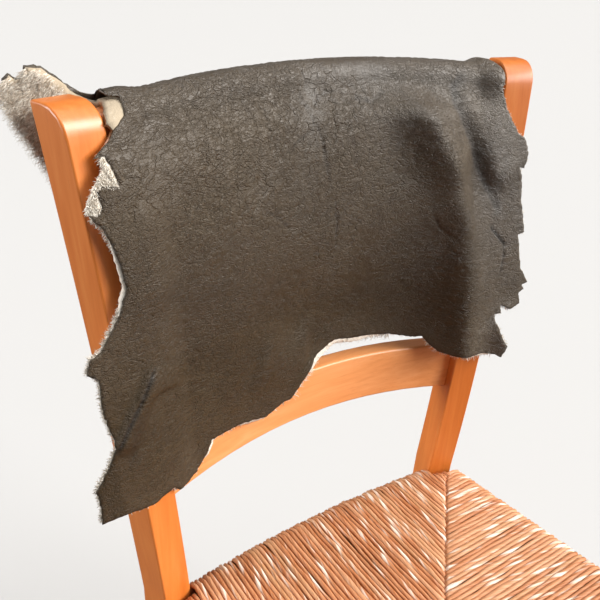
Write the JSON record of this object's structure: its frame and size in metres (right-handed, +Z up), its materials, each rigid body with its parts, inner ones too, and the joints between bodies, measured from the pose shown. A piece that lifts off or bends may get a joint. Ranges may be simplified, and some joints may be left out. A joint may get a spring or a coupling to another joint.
{
  "type": "leather hide draped over a wooden chair",
  "caption": "Sheepskin leather hide with torn edges, draped over the top rail of a wooden ladder-back chair with a rush seat.",
  "frame": {"origin": "on the floor, under the middle of the box round the whole object", "axes": "+Z up, -Y the way the chair faces, +X to the right of a viewer who stands in front of the chair and looks at it"},
  "size_m": [0.444, 0.4484, 0.8955],
  "materials": {
    "leather": "dark grey-brown hide with a fine wrinkled grain, soft sheen, and short off-white wool on its other side",
    "wood": "orange-toned beech, satin lacquer",
    "rush": "twisted straw-coloured rush, matte"
  },
  "bodies": {
    "root": {"hide": "leather", "post_left": "wood", "post_right": "wood", "crest_rail": "wood", "lower_rail": "wood", "rush_seat": "rush", "front_leg_left": "wood", "front_leg_right": "wood", "stretcher_left": "wood", "stretcher_right": "wood", "stretcher_back": "wood", "stretcher_front": "wood"}
  },
  "joints": []
}
